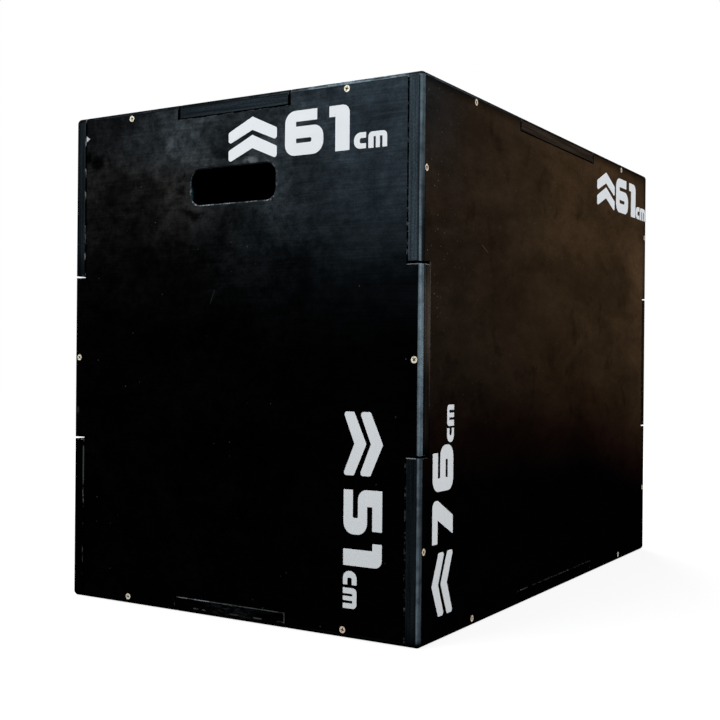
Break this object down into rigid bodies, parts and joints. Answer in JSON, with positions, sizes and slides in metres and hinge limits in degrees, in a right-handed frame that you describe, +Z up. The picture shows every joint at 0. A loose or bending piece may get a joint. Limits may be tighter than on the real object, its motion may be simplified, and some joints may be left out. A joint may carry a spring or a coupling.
{
  "type": "plyometric jump box",
  "caption": "Closed plywood jump box with finger-jointed, screwed edges and a hand hole in each end, turned onto any face to give a different step height.",
  "frame": {"origin": "middle of the base", "axes": "+Z up, +Y along the length from the front end panel to the rear one, +X across the width towards the right side panel"},
  "size_m": [0.508, 0.762, 0.61],
  "materials": {
    "black_painted_ply": "satin black paint on plywood, worn paler along the edges",
    "yellow_zinc": "yellow passivated zinc",
    "white_marking_paint": "matt white stencil paint"
  },
  "bodies": {
    "root": {"front_end_panel": "black_painted_ply", "rear_end_panel": "black_painted_ply", "right_side_panel": "black_painted_ply", "left_side_panel": "black_painted_ply", "top_panel": "black_painted_ply", "bottom_panel": "black_painted_ply", "centre_brace": "black_painted_ply", "front_panel_screws": "yellow_zinc", "rear_panel_screws": "yellow_zinc", "right_side_screws": "yellow_zinc", "left_side_screws": "yellow_zinc", "top_panel_screws": "yellow_zinc", "bottom_panel_screws": "yellow_zinc"}
  },
  "joints": []
}
